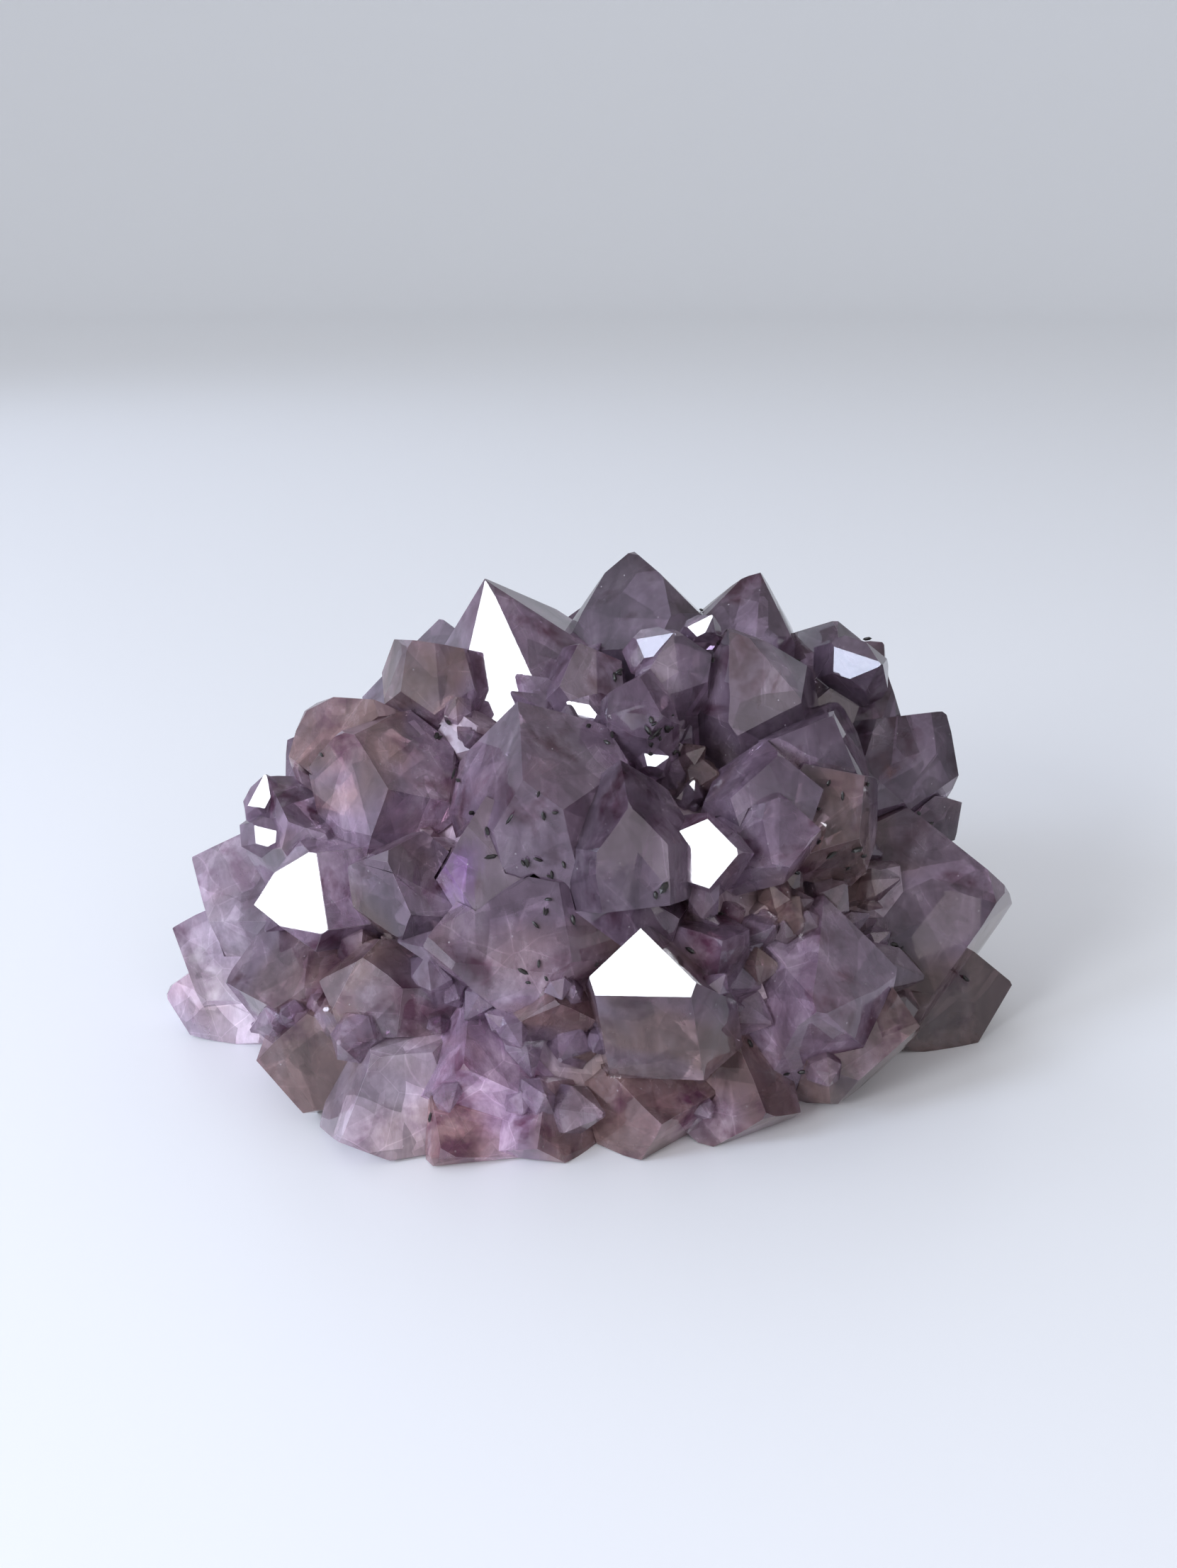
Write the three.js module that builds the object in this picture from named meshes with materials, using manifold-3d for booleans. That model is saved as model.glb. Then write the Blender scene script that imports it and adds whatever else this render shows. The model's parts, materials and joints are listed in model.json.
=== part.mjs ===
// A free-standing amethyst cluster: quartz points grown side by side on a low root of massive quartz.
// Units are millimetres. X runs left to right, Y from the front to the back, Z up.
// Each large point is a mesh of its own. The root carries the small points that fill the valleys.
import * as THREE from "three";
import { ConvexGeometry } from "three/addons/geometries/ConvexGeometry.js";
import { mergeVertices } from "three/addons/utils/BufferGeometryUtils.js";
import Module from "manifold-3d";

const wasm = await Module();
wasm.setup();

// ---------------------------------------------------------------- driving dimensions
const MOUND = new THREE.Vector3(47, 40, 51); // half width, half depth and height over the tips
const GAP = 0.3; // seam between neighbouring points
const FACE_TILT = THREE.MathUtils.degToRad(51.8); // quartz: its axis to the normal of a tip face
const PRISM_WOBBLE = 0.16; // how much the six sides of a point differ in distance from its axis
const TIP_WEDGE = 0.05; // how far a main face may miss the tip, as a share of the half width
const USUAL_LENGTH = 3; // a point's length, as a multiple of its half width
const LEAST_VOLUME = 12; // smaller scraps of a cut point are left out, in cubic millimetres

const DRUSE_COUNT = 90; // small points on the root
const DRUSE_REACH = 0.85; // how far out their tips stand, as a share of the mound
const DRUSE_HALF = 3.3; // their mean half width
const GOLDEN_ANGLE = 137.5; // turn from one small point to the next, in degrees

const ROOT_SIDES = 28; // steps round the root
const ROOT_PROFILE = [ // the root's reach against its height, as shares of the mound
  [0, 0],
  [0.74, 0],
  [0.78, 0.05],
  [0.77, 0.15],
  [0.73, 0.28],
  [0.67, 0.41],
  [0.57, 0.53],
  [0.43, 0.62],
  [0.25, 0.68],
  [0, 0.7],
];

const MAUVE = { color: 0x6b5872, roughness: 0.15, metalness: 0 };
const SMOKY = { color: 0x6c5c5a, roughness: 0.2, metalness: 0 };
const PALE = { color: 0x90808c, roughness: 0.25, metalness: 0 };
const MILKY = { color: 0x8c7c7c, roughness: 0.45, metalness: 0 };

// ---------------------------------------------------------------- the points
// Each row is one point; where two meet, the earlier row keeps its shape and the later one is cut.
// name, its colour, where its tip is, the way it points as [azimuth from the front towards +X,
// elevation], how far it is turned about its own length (degrees), half its width across the
// flats, how far its three lesser faces stand back from the tip (a share of that half width),
// how much flatter it is across its first main face (a share, 0 when left out), and its length.
const PLACED_POINTS = [
  ["left_peak", MAUVE, [-11, -1, 51], [-38, 67], 153, 9, 0.05],
  ["front_glint", MAUVE, [5, -35, 24], [-36, 75], 158, 5.8, 1.2, 0.28, 15],
  ["right_glint", MAUVE, [14.5, -31, 30.5], [36, 20], -78, 4, 1.2, 0, 10],
  ["left_glint", MAUVE, [-34, -23, 22], [-62, 3], 64, 5, 0.35, 0, 14],
  ["centre_left", MAUVE, [-7, -22, 43], [-93, 77], 150, 8.5, 0.7],
  ["crown_front", MAUVE, [15, -10, 48], [-36, 68], 8, 7.5, 0.1],
  ["right_point", SMOKY, [45, -13, 20], [50, 26], -70, 10.5, 0.6],
  ["front_right", MAUVE, [22, -34, 15], [-1, 17], 46, 10, 0.1],
  ["centre_front", MAUVE, [3, -25, 38], [-161, 76], 73, 6.3, 1.2, 0, 14],
  ["centre_lavender", MAUVE, [-10, -28, 35], [-33, 71], 16, 7, 0.9],
  ["front_left", MAUVE, [-16, -34, 22], [-54, 10], 60, 8, 0.1],
  ["left_shoulder", MAUVE, [-25, -16, 39], [-46, 62], 51, 7.5, 0.6],
  ["back_peak", MAUVE, [5, 6, 53], [-115, 81], 88, 7.5, 0.3],
  ["back_right_peak", MAUVE, [19, 5, 51], [70, 80], 40, 5.5, 0.1],
  ["right_shoulder", MAUVE, [33, 2, 41], [56, 60], 6, 8, 0.25],
  ["right_step", MAUVE, [40, 0, 36], [80, 50], 24, 7, 0.5],
  ["low_left", SMOKY, [-34, -28, 7], [-58, 4], 90, 7.2, 0.6],
  ["brown_left", SMOKY, [-38, -22, 13], [-75, 10], 30, 6.5, 0.6],
  ["chipped_left", MAUVE, [-27, -31, 16], [-60, 12], 94, 5, 0.6],
  ["left_flank", PALE, [-45, -3, 20], [-79, 36], 57, 8, 0.5],
  ["left_low_flank", PALE, [-47, -5, 12], [-70, 29], 73, 7, 0.5],
  ["left_foot", PALE, [-48, -7, 5], [-68, 14], 88, 7, 0.5],
  ["left_blade", MAUVE, [-34, -12, 32], [-93, 61], 17, 6, 0.6],
  ["tan_point", SMOKY, [-19, -8, 46], [-23, 55], 3, 4.6, 0.6],
  ["crown_left", MAUVE, [9, -12, 48], [-4, 65], 36, 4.5, 0.5],
  ["crown_small", MAUVE, [-1, -9, 46], [-20, 72], 15, 5, 0.5],
  ["crown_low", MAUVE, [5, -19, 45], [1, 60], 80, 4, 0.5],
  ["brown_shoulder", SMOKY, [-30, -9, 40], [-91, 54], 81, 6, 0.6],
  ["back_block", MAUVE, [28, 5, 45.6], [60, 80], 55, 6, 0.4],
  ["back_corner", SMOKY, [33.6, 6, 42.6], [80, 60], 59, 5, 0.5],
  ["right_foot", SMOKY, [48, -7, 6], [72, 12], 37, 9, 0.6],
  ["right_front_foot", SMOKY, [34, -27, 10], [55, 15], 60, 7, 0.5],
  ["blue_blade", MAUVE, [23, -26, 31], [54, 24], 56, 4, 0.5],
  ["centre_right", MAUVE, [19, -22, 38], [10, 60], 60, 5.5, 0.9],
  ["dark_right", MAUVE, [25, -16, 40], [19, 57], 98, 6, 0.5],
  ["brown_right", SMOKY, [28, -20, 35], [45, 50], 28, 6, 0.5, 0, 12],
  ["right_spur", SMOKY, [42, -3, 26], [80, 25], 20, 3.5, 0.5],
  ["mid_front", MAUVE, [1, -33, 29], [-5, 40], 50, 7, 0.9],
  ["low_front", MAUVE, [-12, -37, 11], [-8, 27], 55, 8.5, 0.8],
  ["front_foot_1", PALE, [-24, -38, 3], [-30, -5], 70, 7, 0.5],
  ["front_foot_2", SMOKY, [-14, -39, 2], [-10, 5], 40, 6.5, 0.5],
  ["front_foot_3", SMOKY, [-5, -39, 3], [0, 10], 70, 6, 0.5],
  ["front_foot_4", SMOKY, [7, -38, 5], [12, 10], 20, 7, 0.5],
  ["front_foot_5", MAUVE, [18, -35, 4], [25, 5], 50, 6.5, 0.5],
  ["tan_front", SMOKY, [-3, -36, 17], [10, 20], 60, 5, 0.6],
  ["hollow_right", MAUVE, [13, -33, 22], [25, 35], 15, 5, 0.7],
  ["mid_left", MAUVE, [-20, -30, 30], [-25, 45], 81, 5.5, 0.5],
];

// The rows of points round the back: how high up the mound (degrees), between which azimuths,
// how many, and how big.
const BACK_ROWS = [
  { name: "back_low", height: 12, from: 108, to: 254, count: 5, half: 12 },
  { name: "back_middle", height: 33, from: 118, to: 244, count: 5, half: 9.5 },
  { name: "back_upper", height: 58, from: 165, to: 240, count: 2, half: 9.5 },
];

// ---------------------------------------------------------------- helpers
// The same numbers on every run, so that the cluster never changes.
function seeded(seed) {
  let state = seed;
  return () => {
    state = (state + 0x6d2b79f5) >>> 0;
    let mixed = Math.imul(state ^ (state >>> 15), 1 | state);
    mixed = (mixed + Math.imul(mixed ^ (mixed >>> 7), 61 | mixed)) ^ mixed;
    return ((mixed ^ (mixed >>> 14)) >>> 0) / 4294967296;
  };
}

// A direction from its azimuth (0 faces the front, 90 faces +X) and elevation, in degrees.
function direction(azimuth, elevation) {
  const a = THREE.MathUtils.degToRad(azimuth);
  const e = THREE.MathUtils.degToRad(elevation);
  return new THREE.Vector3(Math.sin(a) * Math.cos(e), -Math.cos(a) * Math.cos(e), Math.sin(e));
}

// Axes of a point: Z along it to the tip, X towards a main face, turned clockwise from the top.
function crystalAxes(axis, turn) {
  const z = direction(...axis);
  const up = new THREE.Vector3(0, 0, 1).addScaledVector(z, -z.z).normalize();
  const right = new THREE.Vector3().crossVectors(up, z);
  const angle = THREE.MathUtils.degToRad(turn);
  const x = up.multiplyScalar(Math.cos(angle)).addScaledVector(right, Math.sin(angle));
  const y = new THREE.Vector3().crossVectors(z, x);
  return { x, y, z };
}

// The flat faces of a quartz point as planes, each an outward normal and its distance from the
// origin: six sides, three main and three lesser tip faces, its broken foot and the ground.
function facesOf(point, seed) {
  const { tip, axis, turn, half, minor, flat = 0, length = USUAL_LENGTH * half } = point;
  const random = seeded(seed);
  const { x, y, z } = crystalAxes(axis, turn);
  const top = new THREE.Vector3(...tip);
  const planes = [];
  for (let side = 0; side < 6; side++) {
    const a = (side * Math.PI) / 3;
    const out = x.clone().multiplyScalar(Math.cos(a)).addScaledVector(y, Math.sin(a));
    const sloped = out.clone().multiplyScalar(Math.sin(FACE_TILT));
    sloped.addScaledVector(z, Math.cos(FACE_TILT));
    const wedge = TIP_WEDGE * half * random();
    const back = side % 2 ? minor * half * Math.sin(FACE_TILT) : wedge;
    const squeeze = side % 3 ? 1 + flat / 2 : 1 - flat;
    const reach = half * squeeze * (1 + PRISM_WOBBLE * (2 * random() - 1));
    planes.push({ normal: sloped, at: sloped.dot(top) + back });
    planes.push({ normal: out, at: out.dot(top) + reach });
  }
  const foot = z.clone().negate();
  planes.push({ normal: foot, at: foot.dot(top) + length });
  planes.push({ normal: new THREE.Vector3(0, 0, -1), at: 0 });
  return planes;
}

// The convex solid inside a set of planes, each moved out by grow: its corners are the places
// where three planes cross and no other plane is passed.
function solidInside(planes, grow = 0) {
  const corners = [];
  for (const [i, p] of planes.entries()) {
    for (const [j, q] of planes.entries()) {
      for (const [k, r] of planes.entries()) {
        if (j <= i || k <= j) continue;
        const across = new THREE.Vector3().crossVectors(p.normal, q.normal);
        const skew = across.dot(r.normal);
        if (Math.abs(skew) < 1e-4) continue;
        const corner = across.multiplyScalar(r.at + grow);
        const other = new THREE.Vector3();
        corner.addScaledVector(other.crossVectors(q.normal, r.normal), p.at + grow);
        corner.addScaledVector(other.crossVectors(r.normal, p.normal), q.at + grow);
        corner.divideScalar(skew);
        const inside = planes.every((face) => face.normal.dot(corner) <= face.at + grow + 1e-6);
        if (inside) corners.push(corner);
      }
    }
  }
  return toSolid(new ConvexGeometry(corners));
}

// Only shared corner positions are kept, so that the solid is closed.
function toSolid(geometry) {
  const bare = geometry.clone();
  bare.deleteAttribute("normal");
  bare.deleteAttribute("uv");
  const merged = mergeVertices(bare, 1e-4);
  return new wasm.Manifold(
    new wasm.Mesh({
      numProp: 3,
      vertProperties: merged.attributes.position.array,
      triVerts: new Uint32Array(merged.index.array),
    }),
  );
}

function toGeometry(solid) {
  const mesh = solid.getMesh();
  const geometry = new THREE.BufferGeometry();
  geometry.setAttribute("position", new THREE.BufferAttribute(mesh.vertProperties, 3));
  geometry.setIndex(new THREE.BufferAttribute(mesh.triVerts, 1));
  geometry.computeVertexNormals();
  return geometry;
}

function largestPiece(solid) {
  return solid.decompose().sort((a, b) => b.volume() - a.volume())[0];
}

// ---------------------------------------------------------------- where the points stand
function placedPoints() {
  return PLACED_POINTS.map(([name, look, tip, axis, turn, half, minor, flat, length]) => ({
    name, look, tip, axis, turn, half, minor, flat, length,
  }));
}

// Points in rows round the back, each leaning out square to the mound, with a little scatter.
function backPoints() {
  const random = seeded(7);
  const around = (middle, spread) => middle + spread * (random() - 0.5);
  const points = [];
  for (const row of BACK_ROWS) {
    const step = (row.to - row.from) / (row.count - 1);
    for (let i = 0; i < row.count; i++) {
      const azimuth = around(row.from + step * i, 0.4 * step);
      const height = around(row.height, 8);
      const lean = direction(azimuth, height).divide(MOUND).normalize();
      const leanAzimuth = THREE.MathUtils.radToDeg(Math.atan2(lean.x, -lean.y));
      const leanHeight = THREE.MathUtils.radToDeg(Math.asin(lean.z));
      points.push({
        name: `${row.name}_${i + 1}`,
        look: azimuth < 180 ? SMOKY : MAUVE,
        tip: direction(azimuth, height).multiply(MOUND).toArray(),
        axis: [around(leanAzimuth, 30), around(leanHeight + 8, 20)],
        turn: 120 * random(),
        half: row.half * around(1, 0.3),
        minor: around(0.4, 0.6),
      });
    }
  }
  return points;
}

// ---------------------------------------------------------------- the root
// A low dome with an uneven, knobbly outline and a flat underside.
function rootDome(grow = 0) {
  const profile = ROOT_PROFILE.map(([reach, height]) => new THREE.Vector2(reach, height));
  const dome = new THREE.LatheGeometry(profile, ROOT_SIDES);
  const place = dome.attributes.position;
  const wedge = (2 * Math.PI) / ROOT_SIDES;
  for (let i = 0; i < place.count; i++) {
    const reach = Math.hypot(place.getX(i), place.getZ(i));
    const turn = wedge * Math.round(Math.atan2(place.getX(i), place.getZ(i)) / wedge);
    const height = place.getY(i);
    const knobs = 0.03 * Math.sin(3 * turn + 1) + 0.025 * Math.sin(7 * turn + 9 * height);
    const out = reach > 1e-6 ? grow : 0;
    place.setXYZ(
      i,
      Math.sin(turn) * (reach * (1 + knobs) * MOUND.x + out),
      -Math.cos(turn) * (reach * (1 + knobs) * MOUND.y + out),
      height > 1e-6 ? height * MOUND.z + grow : 0,
    );
  }
  return toSolid(dome);
}

// The dome with the small points in its valleys, kept clear of the large ones.
function rootWithDruse(standing) {
  const random = seeded(21);
  const around = (middle, spread) => middle + spread * (random() - 0.5);
  const small = [];
  for (let i = 0; i < DRUSE_COUNT; i++) {
    const azimuth = GOLDEN_ANGLE * i;
    const rise = 0.03 + (0.9 * (i + 0.5)) / DRUSE_COUNT;
    const height = THREE.MathUtils.radToDeg(Math.asin(rise));
    const tip = direction(azimuth, height).multiply(MOUND);
    const half = DRUSE_HALF * around(1, 0.6);
    const point = {
      tip: tip.multiplyScalar(around(DRUSE_REACH, 0.08)).toArray(),
      axis: [around(azimuth, 40), Math.min(84, around(height + 3, 30))],
      turn: 120 * random(),
      half,
      minor: around(0.45, 0.5),
      length: 2 * USUAL_LENGTH * half,
    };
    small.push(solidInside(facesOf(point, 500 + i)));
  }
  const druse = wasm.Manifold.union(small).subtract(wasm.Manifold.union(standing));
  return largestPiece(druse.add(rootDome()));
}

// ---------------------------------------------------------------- building
const cluster = new THREE.Group();

function addPiece(name, solid, look) {
  const mesh = new THREE.Mesh(toGeometry(solid), new THREE.MeshStandardMaterial(look));
  mesh.name = name;
  cluster.add(mesh);
}

const standing = [];
const clearOfRoot = rootDome(GAP);
[...placedPoints(), ...backPoints()].forEach((point, index) => {
  const faces = facesOf(point, 1000 + index);
  let solid = solidInside(faces).subtract(clearOfRoot);
  for (const earlier of standing) {
    solid = solid.subtract(earlier);
  }
  const piece = largestPiece(solid);
  if (piece && piece.volume() > LEAST_VOLUME) {
    addPiece(point.name, piece, point.look);
    standing.push(solidInside(faces, GAP));
  }
});
addPiece("quartz_root", rootWithDruse(standing), MILKY);

// The origin is under the middle of the cluster, on the plane it stands on.
const bounds = new THREE.Box3().setFromObject(cluster);
const middle = bounds.getCenter(new THREE.Vector3());
for (const mesh of cluster.children) {
  mesh.geometry.translate(-middle.x, -middle.y, -bounds.min.z);
}

export default cluster;
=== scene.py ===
# %% [markdown]
# # An amethyst cluster
#
# Amethyst is purple quartz. In a cluster, dozens of six-sided points start on the same root of
# massive quartz and crowd each other as they grow, so only their pyramid ends stay free. This
# lesson loads the measured model, turns every block of it into a finished crystal, sprinkles the
# small minerals that sit in the seams, and lights it all like a specimen near a window.

# %% Load the frame and the tools
import bmesh
import bpy
import json
import math
import random
from mathutils import Matrix, Vector, noise
from mathutils.bvhtree import BVHTree


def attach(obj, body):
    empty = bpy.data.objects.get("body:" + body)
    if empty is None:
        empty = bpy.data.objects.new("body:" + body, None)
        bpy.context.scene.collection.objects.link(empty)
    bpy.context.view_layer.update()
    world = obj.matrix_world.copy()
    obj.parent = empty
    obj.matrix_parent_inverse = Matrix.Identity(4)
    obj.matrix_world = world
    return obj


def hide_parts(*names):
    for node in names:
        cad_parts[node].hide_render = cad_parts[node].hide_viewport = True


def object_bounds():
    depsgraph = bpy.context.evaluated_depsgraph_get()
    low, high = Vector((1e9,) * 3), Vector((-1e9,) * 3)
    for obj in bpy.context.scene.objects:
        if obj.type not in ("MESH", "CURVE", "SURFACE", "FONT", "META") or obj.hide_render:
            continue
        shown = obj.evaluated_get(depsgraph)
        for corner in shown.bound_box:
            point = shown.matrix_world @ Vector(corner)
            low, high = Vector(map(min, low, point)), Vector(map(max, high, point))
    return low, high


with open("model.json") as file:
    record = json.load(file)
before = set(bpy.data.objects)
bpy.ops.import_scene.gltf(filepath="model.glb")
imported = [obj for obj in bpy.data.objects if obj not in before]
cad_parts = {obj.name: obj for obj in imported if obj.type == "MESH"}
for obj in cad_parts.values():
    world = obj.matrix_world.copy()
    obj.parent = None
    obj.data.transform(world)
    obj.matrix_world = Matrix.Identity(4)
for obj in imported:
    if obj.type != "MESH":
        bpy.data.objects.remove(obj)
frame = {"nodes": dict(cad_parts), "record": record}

MM = 0.001
CAD_LOW, CAD_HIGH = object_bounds()
print("model box, mm:", [round((b - a) / MM, 1) for a, b in zip(CAD_LOW, CAD_HIGH)])

# %% [markdown]
# ## Camera
#
# The camera comes first, because every later choice is judged through it. It stands about 20 cm
# away and looks down by 18 degrees, as one holds a phone over a stone on a table.

# %% Place the camera
GROUP_SHIFT = Vector((-0.021, -0.256, 0)) * MM  # from the mound's own centre to the model's
CAMERA_AWAY = 205 * MM
CAMERA_PITCH = math.radians(18)
AIM = Vector((0, 0, 27.4)) * MM + GROUP_SHIFT
LENS = 41.5


def add_camera():
    data = bpy.data.cameras.new("camera")
    data.sensor_fit = "AUTO"
    data.sensor_width = 36
    data.lens = LENS
    data.clip_start = 0.01
    data.clip_end = 50
    camera = bpy.data.objects.new("camera", data)
    bpy.context.scene.collection.objects.link(camera)
    back = Vector((0, -math.cos(CAMERA_PITCH), math.sin(CAMERA_PITCH)))
    camera.location = AIM + back * CAMERA_AWAY
    camera.rotation_euler = (-back).to_track_quat("-Z", "Y").to_euler()
    bpy.context.scene.camera = camera
    return camera


camera = add_camera()
print("camera at, mm:", [round(c / MM) for c in camera.location])

# %% [markdown]
# ## Material helpers
#
# A material is a small graph of nodes. One function adds a node, sets it and wires it, so the
# recipes below read from top to bottom. Colours are written as they are on a screen and turned
# into linear light by another.

# %% Node and colour helpers
def linear(hex_colour):
    """Linear red, green, blue and alpha of an sRGB colour such as #6b5872."""
    parts = [int(hex_colour[i : i + 2], 16) / 255 for i in (1, 3, 5)]
    parts = [p / 12.92 if p <= 0.04045 else ((p + 0.055) / 1.055) ** 2.4 for p in parts]
    return (*parts, 1.0)


def add(tree, kind, settings=None, **inputs):
    """Adds a node; inputs are values or sockets, by name with _ for a space or i and a number."""
    node = tree.nodes.new(kind)
    for name, value in (settings or {}).items():
        setattr(node, name, value)
    for name, value in inputs.items():
        key = int(name[1:]) if name[0] == "i" and name[1:].isdigit() else name.replace("_", " ")
        socket = node.inputs[key]
        if isinstance(value, bpy.types.NodeSocket):
            tree.links.new(value, socket)
        else:
            socket.default_value = value
    return node


def share(tree, value, low, high, at_low=0.0, at_high=1.0):
    """Maps a value between low and high to between at_low and at_high, and holds it there."""
    node = add(tree, "ShaderNodeMapRange", Value=value, From_Min=low, From_Max=high)
    node.inputs["To Min"].default_value = at_low
    node.inputs["To Max"].default_value = at_high
    return node.outputs["Result"]


def blend(tree, factor, first, second):
    """A mix of two colours."""
    node = add(tree, "ShaderNodeMix", {"data_type": "RGBA"}, i0=factor, i6=first, i7=second)
    return node.outputs[2]


def times(tree, first, second):
    """The product of two numbers."""
    return add(tree, "ShaderNodeMath", {"operation": "MULTIPLY"}, i0=first, i1=second).outputs[0]


def noise_at(tree, spot, size, **settings):
    """Cloudy noise whose blobs are about size metres across."""
    return add(tree, "ShaderNodeTexNoise", Vector=spot, Scale=1 / size, **settings).outputs["Fac"]


def new_material(name):
    material = bpy.data.materials.new(name)
    material.use_nodes = True
    material.node_tree.nodes.clear()
    return material, material.node_tree


# %% [markdown]
# ## Amethyst
#
# The purple of amethyst comes from traces of iron that natural radiation has altered. It lies in
# zones and clouds, so one face shows grey-mauve, smoky rose and milky haze side by side. Inner
# cracks and veils cut the colour into flat plates, and their lighter and darker panes are painted
# reflection of the light that the inner cracks mirror. Free faces are as smooth as glass, and worn
# edges are paler, because small chips scatter light.

# %% The quartz recipe
STAINS = [  # middle, how far it reaches in millimetres, colour
    (Vector((-12.4, -30.0, 29.2)) * MM, 3.4, "#8a48b4"),  # a clear violet glow
    (Vector((33.3, -5.0, 30.2)) * MM, 1.7, "#b0602c"),  # rust
]
# The lightening and darkening of the plates is painted reflection of light off inner cracks.
PLATES = [(7 * MM, 0.7, 1.3), (3 * MM, 0.82, 1.18)]  # width, darkest and lightest of them
TOWARDS_LOW_FRONT = (0.1, -0.6, -0.8)
# Painted shade deepens in this direction, towards the top and the right.
TOWARDS_PAINTED_SHADE = (0.7, 0.5, 0.7)


def quartz_material(name, body, warm, deep, haze, warmth, clear, frost):
    """Quartz in four colours; warmth is the share of smoke, clear how much light goes through."""
    material, tree = new_material(name)
    spot = add(tree, "ShaderNodeTexCoord").outputs["Object"]

    def attribute(label):
        return add(tree, "ShaderNodeAttribute", {"attribute_name": label}).outputs["Fac"]

    # Smoky zones in the mauve, 15 mm across, and each crystal leans to one or the other.
    zones = noise_at(tree, spot, 15 * MM, Detail=2, Distortion=0.8)
    leaning = add(tree, "ShaderNodeMath", {"operation": "ADD"}, i0=zones, i1=attribute("tone"))
    # The low front is the smokiest part, and the crown the bluest.
    lower = add(tree, "ShaderNodeVectorMath", {"operation": "DOT_PRODUCT"}, i0=spot)
    lower.inputs[1].default_value = TOWARDS_LOW_FRONT
    smokier = share(tree, lower.outputs["Value"], -40 * MM, 12 * MM, -0.1, 0.14)
    leaning = add(tree, "ShaderNodeMath", {"operation": "ADD"}, i0=leaning.outputs[0], i1=smokier)
    warm_part = share(tree, leaning.outputs[0], 0.62 - warmth, 0.8 - warmth)
    colour = blend(tree, warm_part, linear(body), linear(warm))
    # Milky wisps.
    stretched = add(tree, "ShaderNodeVectorMath", {"operation": "MULTIPLY"}, i0=spot)
    stretched.inputs[1].default_value = (1.0, 0.7, 0.4)
    wisps = noise_at(tree, stretched.outputs[0], 4 * MM, Detail=6, Roughness=0.65, Distortion=0.4)
    colour = blend(tree, share(tree, wisps, 0.5, 0.74, 0, 0.6), colour, linear(haze))
    # Deep red-violet patches, and more of it towards each tip.
    clouds = noise_at(tree, spot, 6 * MM, Detail=4, Roughness=0.6, Distortion=0.4)
    near_tip = times(tree, attribute("near_tip"), 0.45)
    depth = add(tree, "ShaderNodeMath", {"operation": "ADD", "use_clamp": True})
    tree.links.new(share(tree, clouds, 0.53, 0.68, 0, 0.85), depth.inputs[0])
    tree.links.new(near_tip, depth.inputs[1])
    colour = blend(tree, depth.outputs[0], colour, linear(deep))
    # One crystal glows a clear violet, and one is stained by rust.
    for centre, radius, stain in STAINS:
        away = add(tree, "ShaderNodeVectorMath", {"operation": "DISTANCE"}, i0=spot, i1=centre)
        ragged = times(tree, away.outputs["Value"], share(tree, wisps, 0.35, 0.65, 2.2, 0.6))
        stained = share(tree, ragged, 0.2 * radius * MM, radius * MM, 0.6, 0)
        colour = blend(tree, stained, colour, linear(stain))
    # Flat inner plates about 7 and 3 mm across, each a little lighter or darker: painted
    # reflection of light off inner cracks.
    bend = add(tree, "ShaderNodeVectorMath", {"operation": "ADD"}, i0=spot)
    wobble = add(tree, "ShaderNodeTexNoise", Vector=spot, Scale=120, Detail=1)
    small = add(tree, "ShaderNodeVectorMath", {"operation": "SCALE"}, i0=wobble.outputs["Color"])
    small.inputs["Scale"].default_value = 3 * MM
    tree.links.new(small.outputs[0], bend.inputs[1])
    light = None
    for size, least, most in PLATES:
        cells = add(tree, "ShaderNodeTexVoronoi", Vector=bend.outputs[0], Scale=1 / size)
        grey = add(tree, "ShaderNodeSeparateColor", Color=cells.outputs["Color"]).outputs[0]
        plates = share(tree, grey, 0, 1, least, most)
        light = plates if light is None else times(tree, light, plates)
    # Thin pale lines where two plates meet: healed cracks.
    cracks = add(tree, "ShaderNodeTexVoronoi", {"feature": "DISTANCE_TO_EDGE"}, Scale=1 / (6 * MM))
    tree.links.new(bend.outputs[0], cracks.inputs["Vector"])
    line = times(tree, share(tree, cracks.outputs["Distance"], 0.0, 0.018, 1, 0), wisps)
    light = times(tree, light, share(tree, line, 0.1, 0.7, 1.0, 1.4))
    # Fine mottling, and painted shade darkens the cluster towards the top and the right.
    mottling = noise_at(tree, spot, 0.7 * MM, Detail=3)
    light = times(tree, light, share(tree, mottling, 0.3, 0.7, 0.92, 1.08))
    place = add(tree, "ShaderNodeVectorMath", {"operation": "DOT_PRODUCT"}, i0=spot)
    place.inputs[1].default_value = TOWARDS_PAINTED_SHADE
    light = times(tree, light, share(tree, place.outputs["Value"], -25 * MM, 50 * MM, 1.12, 0.62))
    # Every face has a tone of its own: painted light and shade, because what lies behind each face
    # and shows through it differs. It also carries each crystal's own depth of colour and painted
    # light.
    face_tone_and_light = add(tree, "ShaderNodeMath", {"operation": "ADD"}, i0=attribute("face_tone_and_light"), i1=1.0)
    light = times(tree, light, face_tone_and_light.outputs[0])
    lit = add(tree, "ShaderNodeVectorMath", {"operation": "SCALE"}, i0=colour, Scale=light)
    # Dust and tiny chips show as pale flecks.
    dust = add(tree, "ShaderNodeTexVoronoi", Vector=spot, Scale=1 / (1.1 * MM))
    few = add(tree, "ShaderNodeSeparateColor", Color=dust.outputs["Color"]).outputs[1]
    dot = share(tree, dust.outputs["Distance"], 0.05, 0.11, 0.7, 0)
    fleck = times(tree, dot, share(tree, few, 0.72, 0.76))
    lit = blend(tree, fleck, lit.outputs[0], linear("#e8dfe8"))
    worn = attribute("worn")
    colour = blend(tree, times(tree, worn, 0.62), lit, linear("#cbbcc8"))

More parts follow.
